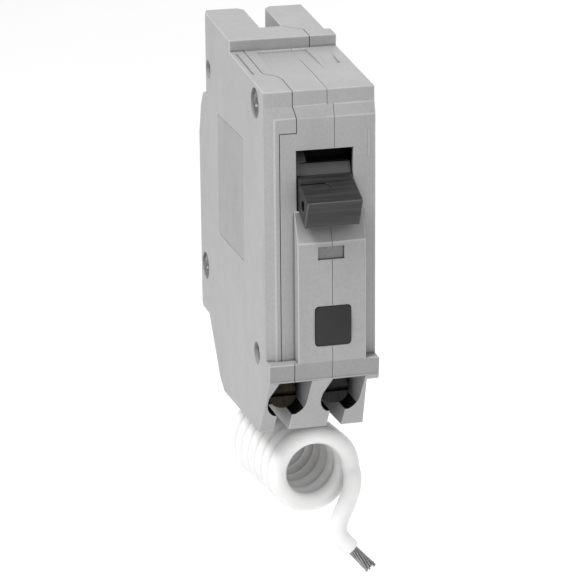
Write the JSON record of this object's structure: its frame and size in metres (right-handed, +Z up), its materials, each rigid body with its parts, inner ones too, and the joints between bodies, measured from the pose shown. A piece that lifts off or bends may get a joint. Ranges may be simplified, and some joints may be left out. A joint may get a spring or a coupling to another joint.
{
  "type": "gfci circuit breaker",
  "caption": "One-pole plug-in ground-fault breaker with toggle handle, test button, two wire terminals and a coiled neutral pigtail.",
  "frame": {"origin": "centre of the flat back rest face, which bears on the panel", "axes": "-Y points out of the panel to the user, +X right across the module, +Z up towards the stab prongs"},
  "size_m": [0.0281, 0.0719, 0.1266],
  "materials": {
    "case_plastic": "fine moulded texture",
    "label_film": "plain printed film",
    "dark_plastic": "moulded, slightly worn",
    "lens_plastic": "satin lens",
    "copper": "bright copper",
    "brass": "turned",
    "plated_steel": "zinc plated",
    "contact_silver": "silver alloy",
    "bimetal": "rolled strip",
    "fibre_board": "pressed fibre",
    "circuit_board": "solder mask",
    "ferrite": "sintered",
    "wound_tape": "taped winding",
    "bobbin_plastic": "moulded nylon",
    "enamelled_wire": "enamelled winding",
    "component_black": "moulded epoxy",
    "component_blue": "dipped epoxy",
    "resistor_body": "lacquered",
    "white_insulation": "extruded insulation",
    "black_insulation": "extruded insulation",
    "tinned_strand": "bare stranded wire"
  },
  "bodies": {
    "case": {"left_cover": "case_plastic", "middle_housing": "case_plastic", "right_cover": "case_plastic", "case_rivets": "plated_steel", "rating_label": "label_film", "handle_pin": "plated_steel", "arm_pin": "plated_steel", "cradle_pin": "plated_steel", "armature_pin": "plated_steel", "fixed_contact": "contact_silver", "line_strap": "copper", "line_jaw": "copper", "jaw_spring": "plated_steel", "arc_chute_plates": "plated_steel", "arc_chute_sides": "fibre_board", "bimetal": "bimetal", "magnet_yoke": "plated_steel", "calibration_screw": "brass", "flexible_braid": "copper", "hot_strap": "copper", "hot_lug": "plated_steel", "neutral_strap": "copper", "neutral_lug": "plated_steel", "sensing_transformer": "ferrite", "neutral_transformer": "wound_tape", "hot_conductor": "black_insulation", "neutral_conductor": "white_insulation", "circuit_board": "circuit_board", "solenoid_bobbin": "bobbin_plastic", "solenoid_winding": "enamelled_wire", "solenoid_frame": "plated_steel", "varistor": "component_blue", "storage_capacitor": "component_black", "controller_chip": "component_black", "rectifier_diodes": "component_black", "resistors": "resistor_body", "button_spring": "plated_steel", "test_contact": "brass", "indicator_lens": "lens_plastic", "pigtail_crimp": "copper", "pigtail_lead": "white_insulation", "pigtail_coil": "white_insulation", "pigtail_tail": "white_insulation", "pigtail_strands": "tinned_strand"},
    "handle": {"handle": "dark_plastic"},
    "contact_arm": {"contact_arm": "copper", "moving_contact": "contact_silver", "operating_spring": "plated_steel"},
    "cradle": {"cradle": "plated_steel"},
    "armature": {"armature": "plated_steel"},
    "plunger": {"solenoid_plunger": "plated_steel"},
    "test_button": {"test_button": "dark_plastic"},
    "hot_screw": {"hot_terminal_screw": "brass"},
    "neutral_screw": {"neutral_terminal_screw": "plated_steel"}
  },
  "joints": [
    {"name": "handle_swing", "type": "hinge", "parent": "case", "child": "handle", "pos_m": [0.00105, -0.0559, 0.0253], "axis": [-1, 0, 0], "range_deg": [0, 44]},
    {"name": "arm_swing", "type": "hinge", "parent": "case", "child": "contact_arm", "pos_m": [-0.005, -0.0468, 0.022], "axis": [1, 0, 0], "range_deg": [0, 20]},
    {"name": "cradle_trip", "type": "hinge", "parent": "case", "child": "cradle", "pos_m": [-0.0083, -0.0508, 0.0385], "axis": [-1, 0, 0], "range_deg": [0, 20]},
    {"name": "armature_tilt", "type": "hinge", "parent": "case", "child": "armature", "pos_m": [-0.006, -0.0233, -0.01], "axis": [-1, 0, 0], "range_deg": [0, 4.6], "stiffness_Nm_per_rad": 0.05, "springref_deg": -4.58},
    {"name": "plunger_slide", "type": "slide", "parent": "case", "child": "plunger", "axis": [0, 1, 0], "range_m": [0, 0.0024]},
    {"name": "test_press", "type": "slide", "parent": "case", "child": "test_button", "axis": [0, 1, 0], "range_m": [0, 0.0012], "stiffness_N_per_m": 900, "springref_m": -0.0012, "deforming": ["button_spring"]},
    {"name": "hot_screw_turn", "type": "hinge", "parent": "case", "child": "hot_screw", "pos_m": [-0.0076, -0.0553, -0.026], "axis": [0, -1, 0], "continuous": true},
    {"name": "neutral_screw_turn", "type": "hinge", "parent": "case", "child": "neutral_screw", "pos_m": [0.0049, -0.0553, -0.026], "axis": [0, -1, 0], "continuous": true}
  ],
  "couplings": [
    {"joint": "arm_swing", "follows": "handle_swing", "ratio": 0.45454},
    {"joint": "plunger_slide", "follows": "armature_tilt", "m_per_rad": 0.029}
  ]
}
